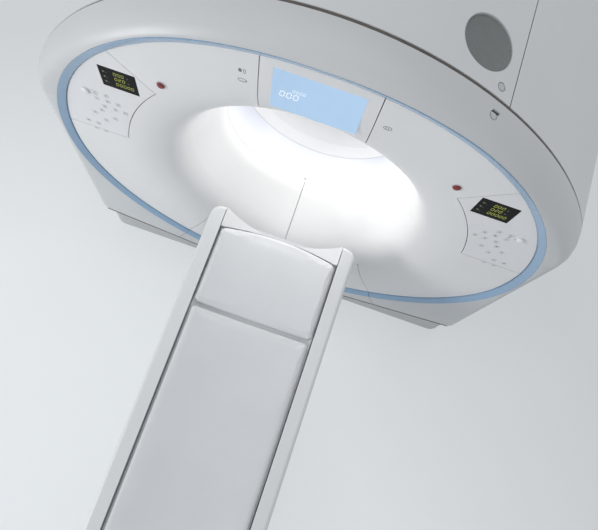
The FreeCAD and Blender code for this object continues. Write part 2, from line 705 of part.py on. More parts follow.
# ---------------------------------------------------------------- frame
def build_frame():
    """Welded floor frame, levelling screws, and the cast stator ring that carries the bearing."""
    beam_x = gantry_half_width - anchor_inset
    beam = frame_beam / 2
    reach_y = anchor_half_y + 50
    top = frame_height
    pad_x0, pad_x1 = beam_x - beam - 40, beam_x + beam + 10
    right = [box(beam_x - beam, beam_x + beam, -reach_y, reach_y, floor_plate, top)]
    for y in (-anchor_half_y, anchor_half_y):
        right.append(box(pad_x0, pad_x1, y - floor_plate_half, y + floor_plate_half, 0, floor_plate))
    sides = right + [mirrored(shape) for shape in right]
    cross_y = 10 + floor_plate_half - anchor_half_y
    cross_front = box(-beam_x, beam_x, cross_y, cross_y + 80, floor_plate, top)
    stator_mid = (stator_y[0] + stator_y[1]) / 2
    cross_rear = box(-beam_x, beam_x, stator_mid - 50, stator_mid + 50, floor_plate, top)
    frame = fused(sides + [cross_front, cross_rear])
    hole_x = beam_x - beam - 20
    screw_at = anchor_half_y + 38
    places = [(side * hole_x, turn * anchor_half_y, turn * screw_at) for side in (-1, 1) for turn in (-1, 1)]
    for x, anchor_y, screw_y in places:
        frame = frame.cut(disc_z(anchor_hole_radius, -1, floor_plate + 1, x, anchor_y))
        frame = frame.cut(hexagon(screw_radius + fit_gap, -1, floor_plate + 1, x, screw_y))
    save("base_frame", frame)

    screws = []
    for x, _, y in places:
        shank = hexagon(screw_radius, 0, floor_plate + 6, x, y)
        screws.append(shank.fuse(hexagon(screw_head_radius, floor_plate + 6, floor_plate + 16, x, y)))
    save("levelling_screws", group(screws))

    y0, y1 = stator_y
    ring = tube_y(rotor_outer - 20, bearing_middle() + running_gap / 2, y0, y1)
    inner_disc = disc_y(rotor_outer - 60, y0 - 1, y1 + 1)
    leg_x, rib_x = rotor_outer * 0.86, rotor_outer * 0.82
    legs = box(-leg_x, leg_x, y0, y1, top, bore_height).cut(inner_disc)
    top_lug = box(-45, 45, y0, y1, bore_height + rotor_outer - 60, crown)
    side_lugs = box(-gantry_half_width, gantry_half_width, y0, y1, bore_height - 40, bore_height + 40)
    inside = arch_prism(cover_wall + fit_gap, y0, y1, 0)
    lugs = [lug.common(inside).cut(inner_disc) for lug in (top_lug, side_lugs)]
    rib = box(rib_x - 12, rib_x + 12, y1, y1 + 60, top, bore_height - 250)
    save("gantry_frame", fused([ring, legs, rib, mirrored(rib)] + lugs))

    brush_z = bore_height + bearing_outer_radius() + slip_ring_width - 40
    brush_y0 = rotor_plate_y[1] + slip_ring_depth + running_gap
    save("brush_block", box(-60, 60, brush_y0, y0, brush_z - 30, brush_z + 30))


def bearing_outer_radius():
    return rotor_inner + 50 + bearing_section


def bearing_middle():
    """Radius where the stator ring and the rotor's hub run on each other."""
    return bearing_outer_radius() - bearing_section / 2


# ---------------------------------------------------------------- rotor
def build_rotor():
    y0, y1 = rotor_plate_y
    hub_outer = bearing_middle() - running_gap / 2
    plate = tube_y(rotor_outer, rotor_inner, y0, y1)
    rim = tube_y(rotor_outer, rotor_outer - rim_wall, rotor_front, y0)
    hub = tube_y(hub_outer, rotor_inner, y1, stator_y[1])
    drum = fused([plate, rim, hub])
    slip_outer = bearing_outer_radius() + slip_ring_width
    save("slip_ring", tube_y(slip_outer, hub_outer, y1, y1 + slip_ring_depth))

    focus = bore_height + focus_rise
    tube_z = focus + tube_rise
    save("xray_tube", disc_y(tube_radius, rotor_front - 5, y0, 0, tube_z))
    throat, wide = tube_z - tube_radius + 6, bore_height + rotor_inner + 14
    collimator = polygon_xz([(-60, throat), (60, throat), (110, wide), (-110, wide)], -55, y0)
    save("collimator", collimator.cut(disc_y(tube_radius + 0.2, -60, y0 + 1, 0, tube_z)))

    arc_outer = detector_inner + detector_depth
    fan = tube_y(arc_outer, detector_inner, -80, y0, 0, focus)
    reach = arc_outer * 1.3
    half = reach * math.tan(math.radians(detector_half_angle))
    sector = polygon_xz([(0, focus), (half, focus - reach), (-half, focus - reach)], -90, y0 + 1)
    save("detector", fan.common(sector))

    tank_in, tank_out = rotor_inner + 45, rotor_outer - rim_wall - 30
    tall = housing_half_height
    out = math.sqrt(tank_out**2 - tall**2)
    front = rotor_front + 20
    save("generator_tank", box(tank_in, out, front, y0, bore_height - tall, bore_height + tall))
    cooler = box(-out, -tank_in, front, y0, bore_height - tall, bore_height + tall)
    for k in range(cooler_slots):
        z = bore_height + 50 * (k - (cooler_slots - 1) / 2)
        cooler = cooler.cut(box(-out - 1, -tank_in + 1, front - 1, front + 40, z - 10, z + 10))
    save("tube_cooler", cooler)
    masses = []
    for turn in (132.0, 48.0):
        block = box(tank_in + 30, tank_in + 150, -60, y0, bore_height - 60, bore_height + 60)
        block.rotate(V(0, 0, bore_height), V(0, 1, 0), -turn)
        masses.append(block)
    save("rotor_drum", fused([drum] + masses))


# ---------------------------------------------------------------- rotor drive
def around(x, z, radius, turn):
    return (x + radius * math.cos(turn), z + radius * math.sin(turn))


def belt_loop(extra):
    """The area inside a belt that goes round the rim and the pulley."""
    x, z = axis_point(motor_at)
    big, small = rotor_outer + running_gap + extra, pulley_radius + running_gap + extra
    base = math.atan2(motor_at[1], motor_at[0])
    lean = math.acos((big - small) / math.hypot(*motor_at))
    corners = [around(0, bore_height, big, base + lean), around(x, z, small, base + lean),
               around(x, z, small, base - lean), around(0, bore_height, big, base - lean)]
    y0, y1 = belt_y
    return fused([polygon_xz(corners, y0, y1), disc_y(big, y0, y1), disc_y(small, y0, y1, x, z)])


def build_drive():
    """Motor on the floor frame, its pulley, and the flat belt around the rotor's rim."""
    x, z = axis_point(motor_at)
    y0, y1 = belt_y
    shaft = disc_y(shaft_radius, y1 + 4, y1 + 24, x, z)
    save("motor_pulley", fused([disc_y(pulley_radius, y0 - 4, y1 + 4, x, z), shaft]))
    flange_y = stator_y[0] - 8
    body = box(x - motor_half, x + motor_half, y1 + 12, flange_y, z - motor_half, z + motor_half)
    half = motor_half + 14
    motor = body.fuse(box(x - half, x + half, flange_y, stator_y[0], z - half, z + half))
    save("drive_motor", motor.cut(disc_y(shaft_radius + running_gap, y1, y1 + 26, x, z)))
    save("drive_belt", belt_loop(belt_thickness).cut(belt_loop(0)))


# ---------------------------------------------------------------- couch top
def rail():
    """The right side rail: flat top, rounded flank and a finger-like tip."""
    inner, outer = rail_half_width - rail_width, rail_half_width
    y0, y1 = couch_foot + foot_cover_length, couch_tip
    z0, z1 = tray_top, rail_top
    block = box(inner, outer, y0, y1, z0, z1)
    tip = [e for e in block.Edges if abs(e.CenterOfMass.x - outer) < 0.1 and abs(e.CenterOfMass.y - y1) < 0.1]
    block = block.makeFillet(tip_radius, tip)
    top = [e for e in block.Edges if abs(e.BoundBox.ZMin - z1) < 0.1 and e.BoundBox.ZLength < 0.1
           and (e.CenterOfMass.x > outer - tip_radius and e.CenterOfMass.y > y0 + 1 or abs(e.CenterOfMass.y - y1) < 0.1)]
    block = block.makeFillet(16.0, top)
    low = [e for e in block.Edges if abs(e.BoundBox.ZMax - z0) < 0.1 and e.CenterOfMass.x > outer - tip_radius
           and e.CenterOfMass.y > y0 + 1]
    return block.makeFillet(26.0, low)


def dished_section(half, z_edge, dish, z_bottom, y0, y1, corner):
    """A prism along Y with a hollowed top and rounded lower corners."""
    low = V(half - corner, y0, z_bottom)
    bend = corner * (1 - math.sqrt(0.5))
    edges = [
        arc(V(-half, y0, z_edge), V(0, y0, z_edge - dish), V(half, y0, z_edge)),
        line(V(half, y0, z_edge), V(half, y0, z_bottom + corner)),
        arc(V(half, y0, z_bottom + corner), V(half - bend, y0, z_bottom + bend), low),
        line(low, V(-half + corner, y0, z_bottom)),
        arc(V(-half + corner, y0, z_bottom), V(-half + bend, y0, z_bottom + bend), V(-half, y0, z_bottom + corner)),
        line(V(-half, y0, z_bottom + corner), V(-half, y0, z_edge)),
    ]
    return Part.Face(Part.Wire(edges)).extrude(V(0, y1 - y0, 0))


def across(point):
    return V(-point.x, point.y, point.z)


def pad_outline(inset, y_foot, y_head, bulge, z):
    """A mat's plan at one height: rounded corners and a head edge that bows forward."""
    half, y0, y1, c = mat_half_width - inset, y_foot + inset, y_head - inset, mat_corner - inset * 0.8
    bow_y = y1 + bulge * (1 - (1 - c / half) ** 2)
    low, low_side = V(half - c, y0, z), V(half, y0 + c, z)
    high_side, high = V(half, y1 - c, z), V(half - c, bow_y, z)
    low_mid = V(half - c * 0.29, y0 + c * 0.29, z)
    high_mid = (high_side + high) * 0.25 + V(half, y1, z) * 0.5
    return Part.Wire([
        line(across(low), low),
        arc(low, low_mid, low_side),
        line(low_side, high_side),
        arc(high_side, high_mid, high),
        arc(high, V(0, y1 + bulge, z), across(high)),
        arc(across(high), across(high_mid), across(high_side)),
        line(across(high_side), across(low_side)),
        arc(across(low_side), across(low_mid), across(low)),
    ])


def mat(y_foot, y_head, bulge):
    """A foam pad: drawn-in sides, a rolled upper edge and a hollowed top."""
    bottom = cradle_top + fit_gap
    low = bottom - mat_dish - 2
    levels = [(3.0, low), (0.0, low + 12), (0.0, couch_height - 20), (1.2, couch_height - 11),
              (4.0, couch_height - 4), (mat_edge_radius, couch_height)]
    body = Part.makeLoft([pad_outline(inset, y_foot, y_head, bulge, z) for inset, z in levels], True, True)
    seat = dished_section(mat_half_width + 5, bottom, mat_dish, low - 30, y_foot - 1, y_head + bulge + 2, 1.0)
    hollow_half = mat_half_width - mat_edge_radius - 2
    radius = (hollow_half**2 + mat_dish**2) / (2 * mat_dish)
    middle = V(0, y_foot - 10, couch_height - mat_dish + radius)
    hollow = Part.makeCylinder(radius, y_head - y_foot + bulge + 20, middle, V(0, 1, 0))
    return body.cut(seat).cut(hollow)


def build_couch_top():
    right = rail()
    save("side_rail_right", right)
    save("side_rail_left", mirrored(right))

    head = couch_tip - mat_setback
    head_foot = head - head_mat_length
    save("head_mat", mat(head_foot, head, mat_bulge))
    save("long_mat", mat(cradle_foot + 30, head_foot - mat_gap, 2.0))

    cradle = dished_section(cradle_half_width, cradle_top, mat_dish, cradle_bottom, cradle_foot, cradle_head, 26.0)
    corner = V(cradle_half_width + 1, cradle_head + 1, 0)
    bow = arc(across(corner), V(0, cradle_head - cradle_bow, 0), corner)
    hollow = Part.Face(Part.Wire([bow, line(corner, across(corner))])).extrude(V(0, 0, couch_height))
    cradle = cradle.cut(hollow)
    lip = dished_section(cradle_half_width, rail_top - 1, mat_dish + 26, cradle_top - 40, head + 4, cradle_head, 6.0)
    lip = lip.cut(hollow)
    clear = Part.Face(pad_outline(-1.0, head_foot, head, mat_bulge, 0)).extrude(V(0, 0, couch_height + 50))
    cradle = fused([cradle, lip.cut(clear)])
    save("cradle", cradle)


def build_couch_frame():
    """The tray under the rails, its slide strips, and the foot end's cover."""
    y0, y1 = couch_foot + foot_cover_length, couch_tip - 14.0
    side = [(y1, tray_top), (y1, tray_top - 52), (y1 - 620, tray_bottom), (y0, tray_bottom), (y0, tray_top)]
    corners = [V(-tray_half_width, y, z) for y, z in side]
    body = Part.Face(Part.makePolygon(corners + corners[:1])).extrude(V(2 * tray_half_width, 0, 0))
    long_low = [e for e in body.Edges if abs(abs(e.CenterOfMass.x) - tray_half_width) < 0.1
                and e.CenterOfMass.z < tray_top - 40 and e.BoundBox.YLength > 100]
    body = body.makeFillet(24.0, long_low)
    hollow = box(-tray_half_width + 60, tray_half_width - 60, y0 + 40, y1 - 700, tray_bottom + 8, tray_top - 10)
    tray = body.cut(hollow)
    save("couch_frame", tray)

    strips = []
    for x in (-170.0, 170.0):
        strips.append(box(x - 20, x + 20, y0 + 60, y1 - 30, tray_top, cradle_bottom - running_gap))
    save("slide_strips", group(strips))

    cap_y0, cap_y1 = couch_foot, couch_foot + foot_cover_length - fit_gap
    cap = box(-rail_half_width, rail_half_width, cap_y0, cap_y1, tray_bottom, rail_top)
    cap = cap.makeFillet(45.0, [e for e in cap.Edges if e.BoundBox.ZLength > 10 and abs(e.CenterOfMass.y - cap_y0) < 0.1])
    cap = cap.makeChamfer(9.0, [e for e in cap.Edges if e.BoundBox.ZLength < 0.1 and e.CenterOfMass.y < cap_y1 - 1])
    room = box(-cradle_half_width - 3, cradle_half_width + 3, cradle_foot - 3, cap_y1 + 1, cradle_bottom - 3, couch_height)
    save("couch_foot_cover", cap.cut(room))


# ---------------------------------------------------------------- couch column
def column_block(inset, z0, z1):
    """A block with the base housing's plan, drawn in all round."""
    half_x, half_y = column_half[0] - inset, column_half[1] - inset
    return rounded_plan(half_x, column_y - half_y, column_y + half_y, column_corner - inset, z0, z1)


def stage(level, z0, z1):
    """One telescoping sleeve; level 0 is the base housing, the outermost."""
    inset = column_step * level
    return column_block(inset, z0, z1).cut(column_block(inset + column_wall, z0 - 1, z1 + 1))


def stage_rim(level, top):
    """The turned-in edge at a sleeve's top, close around the next sleeve."""
    inset = column_step * level
    return column_block(inset + 1, top - 8, top).cut(column_block(inset + column_step - 0.6, top - 9, top + 1))


def square(half, z0, z1, y):
    return box(-half, half, y - half, y + half, z0, z1)


def ram_places():
    return (column_y - ram_spacing / 2, column_y + ram_spacing / 2)


def build_column():
    """Floor plate, housing, two sleeves, and the two three-stage rams inside them."""
    web = 10.0
    middle_z0 = couch_plate + lift_down / 2 + 4
    upper_z0 = middle_z0 + lift_down / 2 + web + 3
    middle_z1 = upper_z0 + lift_up / 2 + 2 * stage_overlap + 5
    plate = column_block(column_wall + 1, 0, couch_plate)
    anchor_x, anchor_y = couch_anchor
    for x, y in ((-anchor_x, -anchor_y), (anchor_x, -anchor_y), (-anchor_x, anchor_y), (anchor_x, anchor_y)):
        plate = plate.cut(disc_z(anchor_hole_radius, -1, couch_plate + 1, x, column_y + y))
    save("couch_base_plate", plate)
    save("couch_base_housing", fused([stage(0, 0, housing_height), stage_rim(0, housing_height)]))

    middle = [stage(1, middle_z0, middle_z1), stage_rim(1, middle_z1)]
    bridge_x, bridge_y = column_half[0] - column_step - 1, ram_half + 16
    for y in ram_places():
        middle.append(box(-bridge_x, bridge_x, y - bridge_y, y + bridge_y, middle_z0, middle_z0 + web))
    middle = fused(middle)
    middle_tube = ram_half - ram_wall - fit_gap
    for y in ram_places():
        middle = middle.cut(square(ram_half + 2, middle_z0 - 1, middle_z0 + web + 1, y))
    save("column_middle", middle)
    save("column_upper", stage(2, upper_z0, tray_bottom))

    cylinders, tubes, rods = [], [], []
    for y in ram_places():
        cylinder = square(ram_half, couch_plate, housing_height - 40, y)
        cylinders.append(cylinder.cut(square(middle_tube + fit_gap, couch_plate + 8, housing_height, y)))
    save("ram_cylinders", group(cylinders))
    tube_z0 = couch_plate + 10 + lift_down / 2
    rod_half = middle_tube - ram_wall - fit_gap
    for y in ram_places():
        tube = square(middle_tube, tube_z0, middle_z1 - 12, y)
        tube = tube.cut(square(rod_half + fit_gap, tube_z0 + 8, middle_z1, y))
        rods.append(square(rod_half, tube_z0 + 10 + lift_down / 2, tray_bottom, y))
        tubes.append(tube)
    save("ram_middle_tubes", group(tubes))
    save("ram_rods", group(rods))


def build_link_plate():
    """The flat floor duct that carries the cables from the gantry to the couch."""
    y0 = column_y + column_half[1] + fit_gap
    y1 = gantry_front + plinth_inset_front - fit_gap
    duct = polygon_xz([(-170, 0), (170, 0), (150, 26), (-150, 26)], y0, y1)
    save("floor_duct", duct)


def main():
    os.makedirs("parts", exist_ok=True)
    fascia = build_fascia()
    build_displays(fascia)
    for node, shape in fascia.items():
        save(node, shape)
    build_rim_shells()
    build_ring_trim()
    build_covers()
    build_plinth()
    build_bore()
    build_frame()
    build_rotor()
    build_drive()
    build_couch_top()
    build_couch_frame()
    build_column()
    build_link_plate()


main()
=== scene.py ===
import json
import math

import bmesh
import bpy
from mathutils import Euler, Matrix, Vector, noise


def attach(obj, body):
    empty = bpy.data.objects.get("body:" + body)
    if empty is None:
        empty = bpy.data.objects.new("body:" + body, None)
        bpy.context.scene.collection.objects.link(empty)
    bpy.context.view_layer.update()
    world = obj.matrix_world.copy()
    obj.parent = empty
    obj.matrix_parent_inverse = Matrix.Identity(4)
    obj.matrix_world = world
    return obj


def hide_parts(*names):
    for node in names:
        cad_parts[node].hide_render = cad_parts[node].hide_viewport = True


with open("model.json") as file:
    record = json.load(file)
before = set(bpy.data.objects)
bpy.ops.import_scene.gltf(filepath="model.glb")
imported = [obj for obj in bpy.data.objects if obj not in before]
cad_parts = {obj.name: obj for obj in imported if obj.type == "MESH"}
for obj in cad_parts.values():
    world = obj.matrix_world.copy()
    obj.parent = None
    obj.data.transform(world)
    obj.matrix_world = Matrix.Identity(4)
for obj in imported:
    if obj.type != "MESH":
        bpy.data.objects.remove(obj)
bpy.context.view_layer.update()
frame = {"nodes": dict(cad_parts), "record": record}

scene = bpy.context.scene
nodes = frame["nodes"]

# ---------------------------------------- numbers, in metres
ISO = 0.945  # bore axis above the floor
BORE = 0.390
FASCIA = -0.420  # the fascia's front plane
GLASS = FASCIA + 0.0008  # front of the display glasses
KEY_FACE = FASCIA - 0.0012
INK = (FASCIA - 0.0002, FASCIA + 0.0004)  # front and back of what is printed on the fascia
EDGE = (FASCIA - 0.0003, FASCIA + 0.0004)  # the same for the dark bars beside the round knobs and the dark arc below each knob
LIT = (GLASS - 0.0002, GLASS + 0.0003)  # the same for the signs on the displays
WINDOW_SEAMS = (-0.0898, 0.085)  # Y of the scan window's front and rear edge
CENTRE_MARK_AT = (-0.004, -0.074)
SHELL_FRONT = -0.437
PLINTH_FRONT = -0.400
PARTING_LOW = 0.110  # lower edge of the shells in the middle; it rises to the sides
PARTING_SLOPE = 0.167
PARTING_END = 0.925

ARCH_RADIUS = 1.140
ARCH_CENTRE = 0.670

MAT_HALF = 0.2460
MAT_TOP = 0.8435
MAT_BOTTOM = 0.8158
MAT_DISH = 0.022  # hollow of the upper face
SEAT_DISH = 0.014  # hollow of the cradle under it
MAT_CORNER = 0.022
MAT_ROLL = 0.010
SEAT_HALF = 0.250
HEAD_MAT = (-0.880, -0.5515, 0.0365)  # foot end, head end, bow of the head edge
LONG_MAT = (-2.772, -0.8925, 0.002)
PAD_CAP = 0.0035

DISPLAY_AT = (0.624, 1.392)
DISPLAY_ROWS = (("000", 0.018), ("020", -0.005), ("00000", -0.030))  # text, height over the display's middle
PANEL_DIGIT = (0.0078, 0.0125, 0.0128, 0.0017)  # width, height, pitch, bar
SCREEN_DIGIT = (0.0125, 0.021, 0.0200, 0.0030)
SMALL_DIGIT = (0.0060, 0.0095, 0.0100, 0.0014)
SCREEN_ROWS = (("000", -0.106, 1.588, SCREEN_DIGIT), ("0000", -0.070, 1.617, SMALL_DIGIT))
STOP_AT = (0.475, 1.447)
ROUND_KEY_AT = (0.768, 1.277)
# key rows: millimetres over the bore's axis, and millimetres aside of it
KEY_ROWS = [(337, (694, 733)), (305, (658, 695, 735)), (268, (640, 675, 716)), (238, (733,)),
            (209, (690, 766)), (178, (731,)), (137, (773, 811)), (97, (753, 791))]
SIGN = 0.0038  # half the size of a key's sign
# signs on the fascia beside the display
RING_SIGNS = ((-0.215, 1.598, 0.013, 0.0065), (0.208, 1.605, 0.012, 0.0075))  # x, z, half width, half height
PAUSE_SIGN = (0.2075, 1.605)
WAVE_SIGN = (-0.222, 1.636)
SIGN_LINE = 0.0018
VENT_AT = (0.378, -0.180)
VENT_INSIDE = 0.0775
VENT_SINK = 0.003
SLAT_PITCH = 0.0044

BACKDROP_TONE = (209, 213, 216)
LAMPS = (  # name, place, target, diameter, watts, colour
    ("key", (-4.5, -3.0, 2.6), (0, -0.8, 0.9), 2.5, 108, (1.0, 0.99, 0.98)),
    ("front", (0.5, -5.0, 3.4), (0, -0.4, 1.0), 3.0, 14, (1, 1, 1)),
    ("top", (0, 0.2, 6.0), (0, 0.2, 0.9), 4.0, 26, (1, 1, 1)),
    ("rear", (1.2, 5.0, 1.8), (0, 0.4, 0.9), 3.0, 40, (1, 1, 1)),
    ("bore_glow", (0, 0.0, 1.02), (0, -1.0, 0.78), 0.50, 2.05, (1.0, 0.955, 0.88)),
    ("bore_fill", (0, 0.28, 0.98), (0, -0.4, 0.92), 0.50, 1.2, (1.0, 0.975, 0.95)),
    ("bore_glow_low", (0, -0.20, 1.22), (0, -0.55, 0.45), 0.40, 0.35, (1.0, 0.965, 0.91)),
)
CAMERA_AT = (0.0985, -1.3531, 2.9052)
CAMERA_TURN = (13.205, -3.871, 18.909)  # degrees about X, Y and Z
CAMERA_LENS = 32.544
CAMERA_SHIFT = (0.045, 0.09)


# ---------------------------------------- material tools
def rgb(r, g, b):
    """An sRGB colour of 0 to 255 as linear values."""
    def linear(v):
        v /= 255.0
        return v / 12.92 if v <= 0.04045 else ((v + 0.055) / 1.055) ** 2.4
    return (linear(r), linear(g), linear(b), 1.0)


def shaded(colour, by):
    """A linear colour made lighter or darker."""
    return tuple(min(1.0, c * by) for c in colour[:3]) + (1.0,)


class Finish:
    """A procedural material round one Principled shader."""

    def __init__(self, name, **constants):
        self.material = bpy.data.materials.new(name)
        self.material.use_nodes = True
        self.tree = self.material.node_tree
        self.shader = self.tree.nodes["Principled BSDF"]
        for socket, value in constants.items():
            self.shader.inputs[socket.replace("_", " ")].default_value = value
        self.place = self.add("ShaderNodeTexCoord").outputs["Object"]

    def add(self, kind, **inputs):
        node = self.tree.nodes.new(kind)
        for socket, value in inputs.items():
            self.feed(node, socket.replace("_", " "), value)
        return node

    def feed(self, node, socket, value):
        if isinstance(value, bpy.types.NodeSocket):
            self.tree.links.new(value, node.inputs[socket])
        else:
            node.inputs[socket].default_value = value

    def set(self, socket, value):
        self.feed(self.shader, socket, value)

    def noise(self, size, detail, stretch=None):
        where = self.place
        if stretch:
            where = self.add("ShaderNodeMapping", Vector=where, Scale=stretch).outputs["Vector"]
        node = self.add("ShaderNodeTexNoise", Vector=where, Scale=1.0 / size, Detail=detail, Roughness=0.55)
        return node.outputs["Fac"]

    def cells(self, size, feature="F1"):
        node = self.add("ShaderNodeTexVoronoi", Vector=self.place, Scale=1.0 / size)
        node.feature = feature
        return node.outputs["Distance"]

    def fit(self, value, low, high, to_low=0.0, to_high=1.0):
        node = self.add("ShaderNodeMapRange", Value=value)
        node.inputs["From Min"].default_value = low
        node.inputs["From Max"].default_value = high
        node.inputs["To Min"].default_value = to_low
        node.inputs["To Max"].default_value = to_high
        return node.outputs["Result"]

    def times(self, a, b):
        return self.calc("MULTIPLY", a, b)

    def calc(self, operation, a, b):
        node = self.tree.nodes.new("ShaderNodeMath")
        node.operation = operation
        self.feed(node, 0, a)
        self.feed(node, 1, b)
        return node.outputs[0]

    def mix(self, factor, a, b):
        node = self.tree.nodes.new("ShaderNodeMix")
        node.data_type = "RGBA"
        for socket, value in ((0, factor), (6, a), (7, b)):
            self.feed(node, socket, value)
        return node.outputs[2]

    def relief(self, height, distance, under=None):
        node = self.add("ShaderNodeBump", Height=height, Distance=distance, Strength=1.0)
        if under is not None:
            self.feed(node, "Normal", under)
        return node.outputs["Normal"]

    def height(self):
        return self.add("ShaderNodeSeparateXYZ", Vector=self.place).outputs["Z"]

    def mottled(self, colour, size, detail, low, high):
        """Soft patches between two shades of the colour."""
        patches = self.fit(self.noise(size, detail), 0.3, 0.7)
        return self.mix(patches, shaded(colour, low), shaded(colour, high))

    def uneven(self, size, detail, rough, spread):
        """Gloss that wanders by the spread round its mean."""
        self.set("Roughness", self.fit(self.noise(size, detail), 0.25, 0.75, rough - spread, rough + spread))


def moulded(name, colour, rough, mottle=0.02, grain=0.0009, depth=0.00003, peel=0.00010, scuffs=0.0,
            **constants):
    """Painted or moulded plastic: soft mottling, uneven gloss, orange peel and a fine grain."""
    f = Finish(name, **constants)
    tone = f.mottled(colour, 0.40, 4.0, 1 - mottle, 1 + mottle)
    if scuffs:  # they gather near the floor and are gone 0.22 m above it
        low = f.fit(f.height(), 0.0, 0.22, 1.0, 0.0)
        streaks = f.fit(f.noise(0.012, 5.0, (0.25, 0.25, 3.0)), 0.56, 0.74)
        tone = f.mix(f.times(f.times(low, streaks), scuffs), tone, shaded(colour, 0.55))
    f.set("Base Color", tone)
    f.uneven(0.06, 4.0, rough, 0.05)
    waves = f.relief(f.noise(0.010, 2.0), peel)
    f.set("Normal", f.relief(f.cells(grain), depth, under=waves))
    return f.material


def brushed(name, colour, rough=0.32, along=(1.0, 1.0, 0.04)):
    """Turned or brushed metal with fine parallel streaks."""
    f = Finish(name, Metallic=1.0)
    streaks = f.noise(0.0012, 4.0, along)
    f.set("Base Color", f.mottled(colour, 0.15, 3.0, 0.94, 1.04))
    f.set("Roughness", f.fit(streaks, 0.3, 0.7, rough - 0.08, rough + 0.10))
    f.set("Normal", f.relief(streaks, 0.00004))
    return f.material


def painted(name, colour, rough=0.5, wear=0.25):
    """Powder paint on a welded or cast frame: a pebbled skin with rubbed patches."""
    f = Finish(name)
    rubbed = f.times(f.fit(f.noise(0.09, 6.0), 0.58, 0.72), wear)
    f.set("Base Color", f.mix(rubbed, f.mottled(colour, 0.30, 4.0, 0.95, 1.05), shaded(colour, 0.62)))
    f.uneven(0.04, 4.0, rough, 0.08)
    f.set("Normal", f.relief(f.cells(0.0022, "SMOOTH_F1"), 0.00018))
    return f.material


def rubber(name, colour, rough=0.7):
    """Dark, dull rubber or sliding plastic with a fine grain."""
    f = Finish(name)
    f.set("Base Color", f.mottled(colour, 0.05, 5.0, 0.85, 1.15))
    f.uneven(0.02, 4.0, rough, 0.1)
    f.set("Normal", f.relief(f.cells(0.0011), 0.00008))
    return f.material


def vinyl(name, colour):
    """Coated upholstery fabric: pebbled grain over a soft, slightly uneven foam."""
    f = Finish(name, Sheen_Weight=0.12, Sheen_Roughness=0.4, Specular_IOR_Level=0.42)
    tone = f.mottled(colour, 0.22, 4.0, 0.975, 1.02)
    # the grain is slightly darker in its pits
    f.set("Base Color", f.mix(f.fit(f.cells(0.0021), 0.0, 0.5, 0.08, 0.0), tone, shaded(colour, 0.8)))
    f.uneven(0.03, 4.0, 0.47, 0.07)
    foam = f.relief(f.noise(0.09, 2.0), 0.0008)
    grain = f.relief(f.cells(0.0021, "SMOOTH_F1"), 0.00022, under=foam)
    f.set("Normal", f.relief(f.noise(0.0006, 2.0), 0.00004, under=grain))
    return f.material


def glowing(name, colour, strength, dark, grid=0.0, coat=0.6):
    """A lit display face behind clear film."""
    f = Finish(name, Coat_Weight=coat, Coat_Roughness=0.06, Emission_Strength=strength)
    tone = f.mottled(colour, 0.12, 2.0, 0.97, 1.02)
    if grid:
        dots = f.fit(f.cells(grid), 0.0, 0.6, 1.0, 0.0)
        tone = f.mix(f.times(dots, 0.06), tone, shaded(colour, 0.7))
    f.set("Emission Color", tone)
    f.set("Base Color", f.mottled(dark, 0.02, 3.0, 0.9, 1.0))
    f.set("Roughness", f.fit(f.noise(0.02, 3.0), 0.3, 0.7, 0.18, 0.26))
    return f.material


